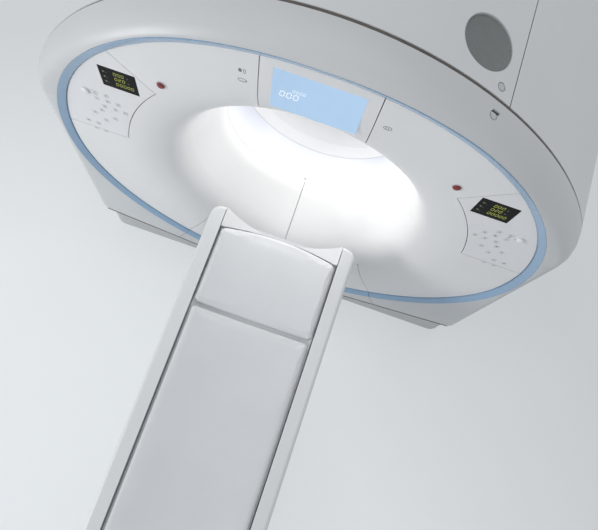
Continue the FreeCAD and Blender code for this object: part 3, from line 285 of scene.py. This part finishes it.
# slot: maker, sRGB tone, and what the maker is told beside them
FINISHES = {
    "cover_white": (moulded, (199, 202, 204), dict(rough=0.40, Coat_Weight=0.15, Coat_Roughness=0.25)),
    "fascia_white": (moulded, (229, 230, 231), dict(rough=0.38, Coat_Weight=0.10, Coat_Roughness=0.25)),
    "panel_grey": (moulded, (228, 229, 231), dict(rough=0.42)),
    "plinth_grey": (painted, (188, 191, 193), dict(rough=0.48, wear=0.12)),
    "ring_blue": (moulded, (140, 172, 202),
                  dict(rough=0.24, mottle=0.03, Coat_Weight=0.5, Coat_Roughness=0.08)),
    "groove_grey": (rubber, (96, 92, 88), dict(rough=0.75)),
    "cap_grey": (moulded, (190, 193, 196), dict(rough=0.45)),
    "vent_grey": (moulded, (176, 180, 180), dict(rough=0.5, mottle=0.05, grain=0.0016, depth=0.00008)),
    "screen_blue": (glowing, (173, 206, 238), dict(strength=0.9, dark=rgb(60, 70, 80), grid=0.0012)),
    "display_black": (moulded, (5, 6, 5), dict(rough=0.42, mottle=0.15, grain=0.002, depth=0.00001,
                                               peel=0.00002, Specular_IOR_Level=0.12)),
    "key_grey": (moulded, (214, 217, 220), dict(rough=0.48)),
    "collar_grey": (moulded, (200, 202, 204), dict(rough=0.34)),
    "stop_red": (moulded, (128, 22, 26), dict(rough=0.32, mottle=0.08, Coat_Weight=0.2)),
    "window_film": (moulded, (228, 231, 240), dict(rough=0.22, mottle=0.01, Coat_Weight=0.3)),
    "liner_white": (moulded, (236, 237, 239), dict(rough=0.42)),
    "frame_paint": (painted, (126, 134, 142), {}),
    "frame_cast": (painted, (104, 110, 116), dict(rough=0.6, wear=0.4)),
    "steel": (brushed, (176, 178, 181), {}),
    "brush_black": (rubber, (38, 38, 40), {}),
    "rotor_alu": (brushed, (190, 193, 196), dict(rough=0.38, along=(1.0, 0.05, 1.0))),
    "slip_ring_black": (rubber, (46, 44, 42), dict(rough=0.5)),
    "tube_housing": (painted, (168, 174, 178), dict(rough=0.42, wear=0.15)),
    "collimator_grey": (painted, (88, 92, 98), {}),
    "detector_grey": (painted, (120, 126, 136), dict(rough=0.45)),
    "tank_paint": (painted, (148, 156, 160), dict(rough=0.45)),
    "cooler_alu": (brushed, (182, 184, 188), dict(rough=0.42, along=(0.05, 1.0, 1.0))),
    "motor_black": (painted, (44, 46, 50), dict(rough=0.5, wear=0.3)),
    "belt_rubber": (rubber, (40, 40, 42), {}),
    "couch_white": (moulded, (216, 219, 221), dict(rough=0.40, Coat_Weight=0.12, Coat_Roughness=0.25)),
    "tray_white": (moulded, (200, 203, 206), dict(rough=0.44)),
    "strip_plastic": (moulded, (118, 121, 124), dict(rough=0.5, mottle=0.05)),
    "cradle_white": (moulded, (216, 218, 220), dict(rough=0.44)),
    "mat_vinyl": (vinyl, (210, 213, 216), {}),
    "column_white": (moulded, (212, 215, 217), dict(rough=0.42, scuffs=0.5)),
    "duct_grey": (moulded, (156, 159, 162), dict(rough=0.5, mottle=0.05, scuffs=0.8)),
}
materials = {name: make(name, rgb(*tone), **rest) for name, (make, tone, rest) in FINISHES.items()}
digit_green = glowing("digit_green", rgb(196, 204, 74), 0.62, dark=rgb(60, 64, 20), coat=0.2)
digit_dim = glowing("digit_dim", rgb(120, 128, 96), 0.35, dark=rgb(40, 42, 30), coat=0.2)
digit_white = glowing("digit_white", rgb(244, 248, 252), 0.95, dark=rgb(90, 96, 104), coat=0.2)
# print on the fascia, the keys and the bore's centre mark, and also the painted shadows under the keys
ink_and_shadow_grey = moulded("ink_and_shadow_grey", rgb(118, 128, 138), rough=0.55, mottle=0.06)
seal_grey = moulded("seal_grey", rgb(186, 188, 194), rough=0.5, mottle=0.05)
knob_white = moulded("knob_white", rgb(236, 238, 240), rough=0.30, Coat_Weight=0.3)

# painted light: the covers behind the hood catch less light, so they take a copy of the cover paint painted a
# shade paler
cover_painted_paler = moulded("cover_painted_paler", rgb(210, 213, 215), rough=0.40, Coat_Weight=0.15, Coat_Roughness=0.25)
painted_light_covers = {name: cover_painted_paler for name in ("top_cover", "side_cover_left", "side_cover_right")}

for row in frame["record"]["subparts"]:
    data = nodes[row["node"]].data
    data.materials.clear()
    data.materials.append(painted_light_covers.get(row["node"], materials[row["material_slot"]]))


# ---------------------------------------- smooth shading of the turned and rolled skins
def smooth(piece, angle=32.0):
    """Shades neighbouring facets as one surface where they lean less than the angle."""
    piece.data.polygons.foreach_set("use_smooth", [True] * len(piece.data.polygons))
    weld = piece.modifiers.new("weld", "WELD")
    weld.merge_threshold = 0.00002
    split = piece.modifiers.new("split", "EDGE_SPLIT")
    split.split_angle = math.radians(angle)
    weigh = piece.modifiers.new("weigh", "WEIGHTED_NORMAL")
    weigh.mode = "FACE_AREA_WITH_ANGLE"
    weigh.keep_sharp = True


for piece in nodes.values():
    smooth(piece)


# ---------------------------------------- mesh tools
class Shape:
    """Collects closed forms into one mesh."""

    def __init__(self):
        self.points = []
        self.faces = []

    def rings(self, rings, close_start=True, close_end=True):
        """A skin over outlines that all have the same number of points."""
        first, count = len(self.points), len(rings[0])
        for ring in rings:
            self.points += [tuple(p) for p in ring]
        for k in range(len(rings) - 1):
            a, b = first + k * count, first + (k + 1) * count
            for j in range(count):
                n = (j + 1) % count
                self.faces.append((a + j, a + n, b + n, b + j))
        if close_start:
            self.faces.append(tuple(first + j for j in range(count))[::-1])
        if close_end:
            last = first + (len(rings) - 1) * count
            self.faces.append(tuple(last + j for j in range(count)))

    def plate(self, outline, front, back):
        """An upright plate over (x, z) points, with a slightly drawn-in front edge."""
        cx = sum(p[0] for p in outline) / len(outline)
        cz = sum(p[1] for p in outline) / len(outline)
        small = [(cx + (x - cx) * 0.96, cz + (z - cz) * 0.96) for x, z in outline]
        middle = front + (back - front) * 0.4
        self.rings([[(x, back, z) for x, z in outline], [(x, middle, z) for x, z in outline],
                    [(x, front, z) for x, z in small]])

    def turned(self, profile, centre, count=48, along="y", ends=True):
        """A form turned about an axis through the centre; profile points are (radius, place along it)."""
        rings = []
        for radius, place in profile:
            ring = []
            for k in range(count):
                a = 2 * math.pi * k / count
                u, v = radius * math.cos(a), radius * math.sin(a)
                offset = (u, place, v) if along == "y" else (u, v, place)
                ring.append(tuple(c + o for c, o in zip(centre, offset)))
            rings.append(ring)
        self.rings(rings, ends, ends)

    def piece(self, name, material, slot, body, angle=32.0):
        data = bpy.data.meshes.new(name)
        data.from_pydata(self.points, [], self.faces)
        work = bmesh.new()
        work.from_mesh(data)
        bmesh.ops.recalc_face_normals(work, faces=work.faces)
        work.to_mesh(data)
        work.free()
        data.materials.append(material)
        made = bpy.data.objects.new(name, data)
        scene.collection.objects.link(made)
        if angle:
            data.polygons.foreach_set("use_smooth", [True] * len(data.polygons))
            split = made.modifiers.new("split", "EDGE_SPLIT")
            split.split_angle = math.radians(angle)
        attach(made, body)
        return made


def flip(points):
    """An outline mirrored to the other side."""
    return [(-x, z) for x, z in points][::-1]


def oval(x, z, half_x, half_z, count, start=0.0, turn=360.0):
    """Points round an oval, or along a part of it."""
    angles = [math.radians(start + turn * k / count) for k in range(count + (turn < 360))]
    return [(x + half_x * math.cos(a), z + half_z * math.sin(a)) for a in angles]


def stroke(points, width):
    """The outline of a line of even width through the points."""
    left, right = [], []
    for k, (x, z) in enumerate(points):
        before, after = points[max(0, k - 1)], points[min(len(points) - 1, k + 1)]
        dx, dz = after[0] - before[0], after[1] - before[1]
        length = math.hypot(dx, dz)
        nx, nz = -dz / length * width / 2, dx / length * width / 2
        left.append((x + nx, z + nz))
        right.append((x - nx, z - nz))
    return left + right[::-1]


# ---------------------------------------- numbers on the displays
SEGMENTS = {"0": "abcdef", "2": "abged"}
SLANT = 0.12  # how far a numeral leans for each unit of its height


def digit_bars(digit, x, z, width, height, bar):
    """The lit bars of one numeral, whose lower left corner is at x, z."""
    half = height / 2
    level = {"a": height, "g": half, "d": 0.0}
    upright = {"f": (0.0, half), "b": (width, half), "e": (0.0, 0.0), "c": (width, 0.0)}
    gap, h = bar * 0.25, bar / 2
    bars = []
    for name in SEGMENTS[digit]:
        if name in level:
            z0, a, b = z + level[name], x + gap, x + width - gap
            bars.append([(a, z0), (a + h, z0 + h), (b - h, z0 + h),
                         (b, z0), (b - h, z0 - h), (a + h, z0 - h)])
        else:
            dx, dz = upright[name]
            x0, a, b = x + dx, z + dz + gap, z + dz + half - gap
            bars.append([(x0, a), (x0 + h, a + h), (x0 + h, b - h),
                         (x0, b), (x0 - h, b - h), (x0 - h, a + h)])
    return [[(px + (pz - z) * SLANT, pz) for px, pz in outline] for outline in bars]


def number(shape, text, x, z, size):
    """A row of numerals on a display's glass, from its lower left corner."""
    width, height, pitch, bar = size
    for k, digit in enumerate(text):
        for outline in digit_bars(digit, x + pitch * k, z, width, height, bar):
            shape.plate(outline, GLASS - 0.00025, GLASS + 0.0003)


for side, name in ((-1, "left"), (1, "right")):
    cx, cz = side * DISPLAY_AT[0], DISPLAY_AT[1]
    lit, dim = Shape(), Shape()
    for text, rise in DISPLAY_ROWS:
        number(lit, text, cx - 0.014, cz + rise, PANEL_DIGIT)
    for rise in (0.022, -0.001, -0.025):
        z = cz + rise
        dim.plate(oval(cx - 0.047, z, 0.0042, 0.0034, 12), *LIT)
        dim.plate(stroke([(cx - 0.041, z - 0.003), (cx - 0.036, z - 0.003)], 0.0014), *LIT)
    for rise in (0.021, -0.002):
        tip, z = cx + 0.030, cz + rise
        dim.plate([(tip, z - 0.003), (tip + 0.006, z), (tip, z + 0.003)], *LIT)
    lit.piece("display_digits_" + name, digit_green, "display_black", "gantry")
    dim.piece("display_icons_" + name, digit_dim, "display_black", "gantry")

screen = Shape()
for text, x, z, size in SCREEN_ROWS:
    number(screen, text, x, z, size)
screen.piece("screen_numbers", digit_white, "screen_blue", "gantry")


# ---------------------------------------- keys, their signs, the painted shadows under them and the round knobs
def key_sign(kind, x, z):
    """Outlines of a key's sign: an arrow, an arrow at a bar, a ring or two lines."""
    s = SIGN
    if kind == 0:
        return [[(x - s, z - s * 0.6), (x + s, z - s * 0.6), (x, z + s)]]
    if kind == 1:
        return [[(x - s, z + s * 0.6), (x, z - s), (x + s, z + s * 0.6)]]
    if kind == 2:
        return [[(x - s * 0.6, z - s), (x + s, z), (x - s * 0.6, z + s)],
                stroke([(x - s * 1.4, z - s), (x - s * 1.4, z + s)], 0.001)]
    if kind == 3:
        return [oval(x, z, s, s, 14)]
    return [stroke([(x - s * 1.2, z + s * 0.5), (x + s * 1.2, z + s * 0.5)], 0.0011),
            stroke([(x - s * 1.2, z - s * 0.6), (x + s * 0.4, z - s * 0.6)], 0.0011)]


def place_outline(shape, outline, side, front, back):
    """A plate on the right panel, or its mirror image on the left."""
    shape.plate(outline if side > 0 else flip(outline), front, back)


for side, name in ((-1, "left"), (1, "right")):
    signs, marks_and_shadows, knob = Shape(), Shape(), Shape()
    count = 0
    for rise, places in KEY_ROWS:
        for px in places:
            x, z = px / 1000, ISO + rise / 1000
            for outline in key_sign(count % 5, x, z + 0.0006):
                place_outline(signs, outline, side, KEY_FACE - 0.00015, KEY_FACE + 0.0004)
            # painted shadow: a dark line under each key, where the raised key would shade the fascia
            under = stroke([(x - 0.0086, z - 0.0080), (x, z - 0.0085), (x + 0.0086, z - 0.0080)], 0.0020)
            place_outline(marks_and_shadows, under, side, FASCIA - 0.0004, FASCIA + 0.0004)
            count += 1
    kx, kz = ROUND_KEY_AT
    for lean in (-0.010, 0.0, 0.010):
        bx, bz = kx - 0.031 + lean * 0.3, kz + lean
        bar = stroke([(bx - 0.005, bz - 0.002), (bx + 0.005, bz + 0.002)], 0.0024)
        place_outline(marks_and_shadows, bar, side, *EDGE)
    place_outline(marks_and_shadows, stroke(oval(kx, kz, 0.0165, 0.0165, 20, 200, 140), 0.0016), side, *EDGE)
    top = FASCIA - 0.004
    profile = [(0.0126, top + 0.0004), (0.0128, top - 0.0010), (0.0120, top - 0.0028),
               (0.0098, top - 0.0042), (0.0060, top - 0.0050), (0.0020, top - 0.0053)]
    knob.turned(profile, (side * kx, 0.0, kz), 40)
    signs.piece("key_signs_" + name, ink_and_shadow_grey, "key_grey", "gantry")
    marks_and_shadows.piece("key_marks_and_shadows_" + name, ink_and_shadow_grey, "key_grey", "gantry")
    knob.piece("round_knob_" + name, knob_white, "key_grey", "gantry", 40.0)

marks = Shape()
for x, z, half_x, half_z in RING_SIGNS:
    marks.plate(stroke(oval(x, z, half_x, half_z, 26, -90, 359), SIGN_LINE), *INK)
px, pz = PAUSE_SIGN
for x in (px - 0.0035, px + 0.0035):
    marks.plate(stroke([(x, pz - 0.005), (x, pz + 0.005)], SIGN_LINE), *INK)
wx, wz = WAVE_SIGN
marks.plate(oval(wx, wz, 0.0055, 0.0075, 20), *INK)
for reach in (0.0105, 0.016):
    marks.plate(stroke(oval(wx, wz, reach, reach, 12, -40, 80), SIGN_LINE), *INK)
marks.piece("fascia_signs", ink_and_shadow_grey, "key_grey", "gantry")

# ---------------------------------------- stop buttons
for side, name in ((-1, "left"), (1, "right")):
    x, z = side * STOP_AT[0], STOP_AT[1]
    back, front = FASCIA + 0.0117, FASCIA - 0.0075
    profile = [(0.0110, back), (0.0118, back - 0.0006), (0.0119, front + 0.0042), (0.0114, front + 0.0024),
               (0.0100, front + 0.0009), (0.0075, front + 0.0001), (0.0040, front - 0.0003),
               (0.0012, front - 0.0004)]
    button = Shape()
    button.turned(profile, (x, 0.0, z), 48)
    piece = button.piece("stop_cap_" + name, materials["stop_red"], "stop_red", "stop_" + name, 50.0)
    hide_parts("stop_button_" + name)


# ---------------------------------------- vent slats, window seals, a painted shadow strip and the centre mark
def arch_frame(x, y, sink):
    """A place under the arch's surface, with the directions across, along Y and out."""
    lean = math.asin(x / ARCH_RADIUS)
    out = Vector((math.sin(lean), 0, math.cos(lean)))
    across = Vector((math.cos(lean), 0, -math.sin(lean)))
    centre = Vector((x, y, ARCH_CENTRE + math.sqrt(ARCH_RADIUS**2 - x**2))) - out * sink
    return centre, across, Vector((0, 1, 0)), out


slats = Shape()
for x in (-VENT_AT[0], VENT_AT[0]):
    centre, across, along, out = arch_frame(x, VENT_AT[1], VENT_SINK)
    section = [(-0.0007, -0.0088), (0.0007, -0.0088), (0.0007, -0.0022),
               (0.0002, -0.0015), (-0.0002, -0.0015), (-0.0007, -0.0022)]
    for k in range(-17, 18):
        middle = k * SLAT_PITCH
        reach = math.sqrt(VENT_INSIDE**2 - middle**2) - 0.0006
        slats.rings([[centre + across * (middle + a) + along * end + out * c for a, c in section]
                     for end in (-reach, reach)])
slats.piece("vent_slats", materials["vent_grey"], "vent_grey", "gantry")

seals = Shape()
for y in WINDOW_SEAMS:
    profile = [(BORE, y - 0.0015), (BORE - 0.0005, y - 0.0008), (BORE - 0.0005, y + 0.0008),
               (BORE, y + 0.0015), (BORE + 0.0004, y + 0.0008), (BORE + 0.0004, y - 0.0008),
               (BORE, y - 0.0015)]
    seals.turned(profile, (0, 0, ISO), 144, ends=False)
seals.piece("window_seals", seal_grey, "window_film", "gantry", 60.0)

# painted shadow: a dark rubber strip along the shells' lower edge, in front of the plinth, for the shadow in
# the gap between them
parting = Shape()
sections = []
for x in (-PARTING_END, 0.0, PARTING_END):
    edge = PARTING_LOW + PARTING_SLOPE * abs(x) - 0.0006
    front, back = SHELL_FRONT - 0.0015, PLINTH_FRONT - 0.0006
    sections.append([(x, back, edge), (x, front + 0.0015, edge), (x, front, edge - 0.0015),
                     (x, front, edge - 0.0065), (x, front + 0.0015, edge - 0.008), (x, back, edge - 0.008)])
parting.rings(sections)
parting.piece("parting_shadow_strip", materials["groove_grey"], "groove_grey", "gantry")

dot = Shape()
profile = [(0.0045, BORE + 0.0006), (0.0045, BORE - 0.0002), (0.0038, BORE - 0.0006), (0.0012, BORE - 0.0006)]
dot.turned(profile, (*CENTRE_MARK_AT, ISO), 20, along="z")
for k, (x, y, z) in enumerate(dot.points):
    dot.points[k] = (x, y, 2 * ISO - z)
dot.piece("centre_mark", ink_and_shadow_grey, "window_film", "gantry")


# ---------------------------------------- couch mats
def dish(x, half, depth):
    """Depth of a hollow across the couch, nothing at its edges."""
    return depth * (1 - min(1.0, (x / half) ** 2))


def seat_height(x):
    """Height of the cradle's upper face, on which the mats lie."""
    return MAT_BOTTOM - dish(x, SEAT_HALF, SEAT_DISH)


def mat_plan(inset, y_foot, y_head):
    """A rounded rectangle's points, drawn in by an inset."""
    half, y0, y1 = MAT_HALF - inset, y_foot + inset, y_head - inset
    corner = max(MAT_CORNER - inset, 0.004)
    points = []
    for cx, cy, start in ((half - corner, y0 + corner, -90), (half - corner, y1 - corner, 0),
                          (corner - half, y1 - corner, 90), (corner - half, y0 + corner, 180)):
        for k in range(7):
            a = math.radians(start + 15 * k)
            points.append((cx + corner * math.cos(a), cy + corner * math.sin(a)))
    full = []
    for k, p in enumerate(points):
        q = points[(k + 1) % len(points)]
        steps = 24 if k % 7 == 6 else 1
        full += [(p[0] + (q[0] - p[0]) * j / steps, p[1] + (q[1] - p[1]) * j / steps) for j in range(steps)]
    return full


def mat_form(y_foot, y_head, bow):
    """A foam pad between its seat and its hollowed top, with a rolled upper edge."""
    def top(x):
        return MAT_TOP - dish(x, MAT_HALF, MAT_DISH)

    def bowed(x, y):
        share = max(0.0, min(1.0, (y - (y_head - 0.12)) / 0.12))
        return y + bow * (1 - (x / MAT_HALF) ** 2) * share * share * (3 - 2 * share)

    levels = [(0.0045, 0.0, 0.0), (0.0015, 0.0, 0.0035), (0.0, 0.0, 0.009), (0.0, 1.0, -MAT_ROLL - 0.002)]
    for k in range(1, 7):
        a = math.pi / 12 * k
        levels.append((MAT_ROLL * (1 - math.cos(a)), 1.0, MAT_ROLL * (math.sin(a) - 1)))
    rings = []
    for inset, share, rise in levels:
        ring = []
        for x, y in mat_plan(inset, y_foot, y_head):
            base = top(x) if share else seat_height(x)
            ring.append((x, bowed(x, y), base + rise))
        rings.append(ring)
    inner = mat_plan(MAT_ROLL, y_foot, y_head)
    middle = (y_foot + y_head) / 2
    underside = mat_plan(0.0045, y_foot, y_head)
    below = []
    for share in (0.02, 0.2, 0.4, 0.6, 0.8):
        spots = [(x * share, middle + (y - middle) * share) for x, y in underside]
        below.append([(x, bowed(x, y), seat_height(x)) for x, y in spots])
    above = []
    for share in (0.92, 0.8, 0.65, 0.5, 0.35, 0.2, 0.02):
        spots = [(x * share, middle + (y - middle) * share) for x, y in inner]
        above.append([(x, bowed(x, y), top(x)) for x, y in spots])
    form = Shape()
    form.rings(below + rings + above)
    return form


def keep_result(piece):
    """Replaces the piece's mesh with what its modifiers make of it."""
    bpy.context.view_layer.update()
    evaluated = piece.evaluated_get(bpy.context.evaluated_depsgraph_get())
    made = bpy.data.meshes.new_from_object(evaluated)
    piece.modifiers.clear()
    piece.data = made


def swell(piece, voxel):
    """Even remesh, then 20 frames of cloth pressure with the underside held, up to a cap."""
    remesh = piece.modifiers.new("remesh", "REMESH")
    remesh.mode = "VOXEL"
    remesh.voxel_size = voxel
    keep_result(piece)
    start = [v.co.copy() for v in piece.data.vertices]
    held = piece.vertex_groups.new(name="held")
    seat = [v.index for v in piece.data.vertices if v.co.z < seat_height(v.co.x) + 0.007]
    held.add(seat, 1.0, "REPLACE")
    cloth = piece.modifiers.new("cloth", "CLOTH")
    cloth.settings.use_pressure = True
    cloth.settings.uniform_pressure_force = 4.0
    cloth.settings.effector_weights.gravity = 0.0
    cloth.settings.vertex_group_mass = "held"
    for step in range(1, 21):
        scene.frame_set(step)
    keep_result(piece)
    scene.frame_set(1)
    for vertex, place in zip(piece.data.vertices, start):
        move = vertex.co - place
        if move.length > PAD_CAP:
            vertex.co = place + move * (PAD_CAP / move.length)
    piece.vertex_groups.clear()
    for vertex in piece.data.vertices:
        x, y, z = vertex.co
        share = max(0.0, min(1.0, (z - seat_height(x) - 0.012) / 0.01))
        vertex.co.z += 0.0007 * share * noise.noise(Vector((x * 9, y * 7, 3.1)))
    piece.data.polygons.foreach_set("use_smooth", [True] * len(piece.data.polygons))
    piece.modifiers.new("round", "SUBSURF").levels = 1
    piece.modifiers["round"].render_levels = 1


for name, numbers, voxel in (("head_mat", HEAD_MAT, 0.006), ("long_mat", LONG_MAT, 0.0095)):
    pad = mat_form(*numbers).piece(name + "_pad", materials["mat_vinyl"], "mat_vinyl", "cradle", 0.0)
    swell(pad, voxel)
    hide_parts(name)


# ---------------------------------------- stage
BACKDROP = rgb(*BACKDROP_TONE)


def shown_rays(tree):
    """1 for camera, glossy and transmission rays, which meet the pale backdrop, and 0 for the rest."""
    rays = tree.nodes.new("ShaderNodeLightPath")
    value = rays.outputs["Is Camera Ray"]
    for name in ("Is Glossy Ray", "Is Transmission Ray"):
        either = tree.nodes.new("ShaderNodeMath")
        either.operation = "MAXIMUM"
        tree.links.new(value, either.inputs[0])
        tree.links.new(rays.outputs[name], either.inputs[1])
        value = either.outputs[0]
    return value


def floor_material():
    """A floor that is lit near the scanner, with a painted pool of light in its colour, and that runs into
    the plain backdrop 8 m away.
    """
    f = Finish("floor_paint", Roughness=0.9, Specular_IOR_Level=0.2)
    shifted = f.add("ShaderNodeMapping", Vector=f.place, Location=(0.6, 2.2, 0.0)).outputs["Vector"]
    reach = f.add("ShaderNodeVectorMath", Vector=shifted)
    reach.operation = "LENGTH"
    cloud = f.fit(f.noise(0.9, 2.0), 0.3, 0.7, -0.05, 0.05)
    # painted light: the floor's colour is paler within 1.6 m of a spot in front of the scanner and darker
    # from 3.1 m on
    pale = f.calc("ADD", f.fit(reach.outputs["Value"], 1.6, 3.1), cloud)
    tone = f.mix(pale, rgb(232, 236, 239), rgb(211, 215, 218))
    f.set("Base Color", tone)
    away = f.add("ShaderNodeVectorMath", Vector=f.place)
    away.operation = "LENGTH"
    far = f.fit(away.outputs["Value"], 3.0, 8.0)
    # camera, glossy and transmission rays see 60 % of the floor as a glow of this painted colour
    near_light = f.add("ShaderNodeEmission", Color=tone)
    far_light = f.add("ShaderNodeEmission", Color=BACKDROP)
    rays = shown_rays(f.tree)
    near = f.add("ShaderNodeMixShader", Fac=f.times(rays, 0.6))
    f.tree.links.new(f.shader.outputs[0], near.inputs[1])
    f.tree.links.new(near_light.outputs[0], near.inputs[2])
    both = f.add("ShaderNodeMixShader", Fac=f.times(rays, far))
    f.tree.links.new(near.outputs[0], both.inputs[1])
    f.tree.links.new(far_light.outputs[0], both.inputs[2])
    f.tree.links.new(both.outputs[0], f.tree.nodes["Material Output"].inputs["Surface"])
    return f.material


bpy.ops.mesh.primitive_plane_add(size=60.0, location=(0, 0, -0.0005))
floor = bpy.context.object
floor.name = "floor"
floor.data.materials.append(floor_material())

world = bpy.data.worlds.new("studio")
scene.world = world
world.use_nodes = True
sky = world.node_tree
sky.nodes.clear()
choose = sky.nodes.new("ShaderNodeMixShader")
sky.links.new(shown_rays(sky), choose.inputs[0])
for socket, colour, strength in ((1, (0.96, 0.975, 1.0, 1), 0.57), (2, BACKDROP, 1.0)):
    light = sky.nodes.new("ShaderNodeBackground")
    light.inputs["Color"].default_value = colour
    light.inputs["Strength"].default_value = strength
    sky.links.new(light.outputs[0], choose.inputs[socket])
sky_out = sky.nodes.new("ShaderNodeOutputWorld")
sky.links.new(choose.outputs[0], sky_out.inputs["Surface"])


for name, place, target, size, power, colour in LAMPS:
    data = bpy.data.lights.new(name, "AREA")
    data.shape = "DISK"
    data.size = size
    data.energy = power
    data.color = colour
    lamp = bpy.data.objects.new(name, data)
    lamp.location = place
    lamp.rotation_euler = (Vector(target) - Vector(place)).to_track_quat("-Z", "Y").to_euler()
    lamp.visible_camera = False
    scene.collection.objects.link(lamp)

# ---------------------------------------- camera, from the photograph's vanishing points
camera_data = bpy.data.cameras.new("camera")
camera_data.sensor_width = 36.0
camera_data.lens = CAMERA_LENS
camera_data.shift_x, camera_data.shift_y = CAMERA_SHIFT
camera_data.dof.use_dof = False
camera = bpy.data.objects.new("camera", camera_data)
camera.location = CAMERA_AT
camera.rotation_euler = Euler([math.radians(a) for a in CAMERA_TURN])
scene.collection.objects.link(camera)
scene.camera = camera
scene.view_settings.view_transform = "Standard"
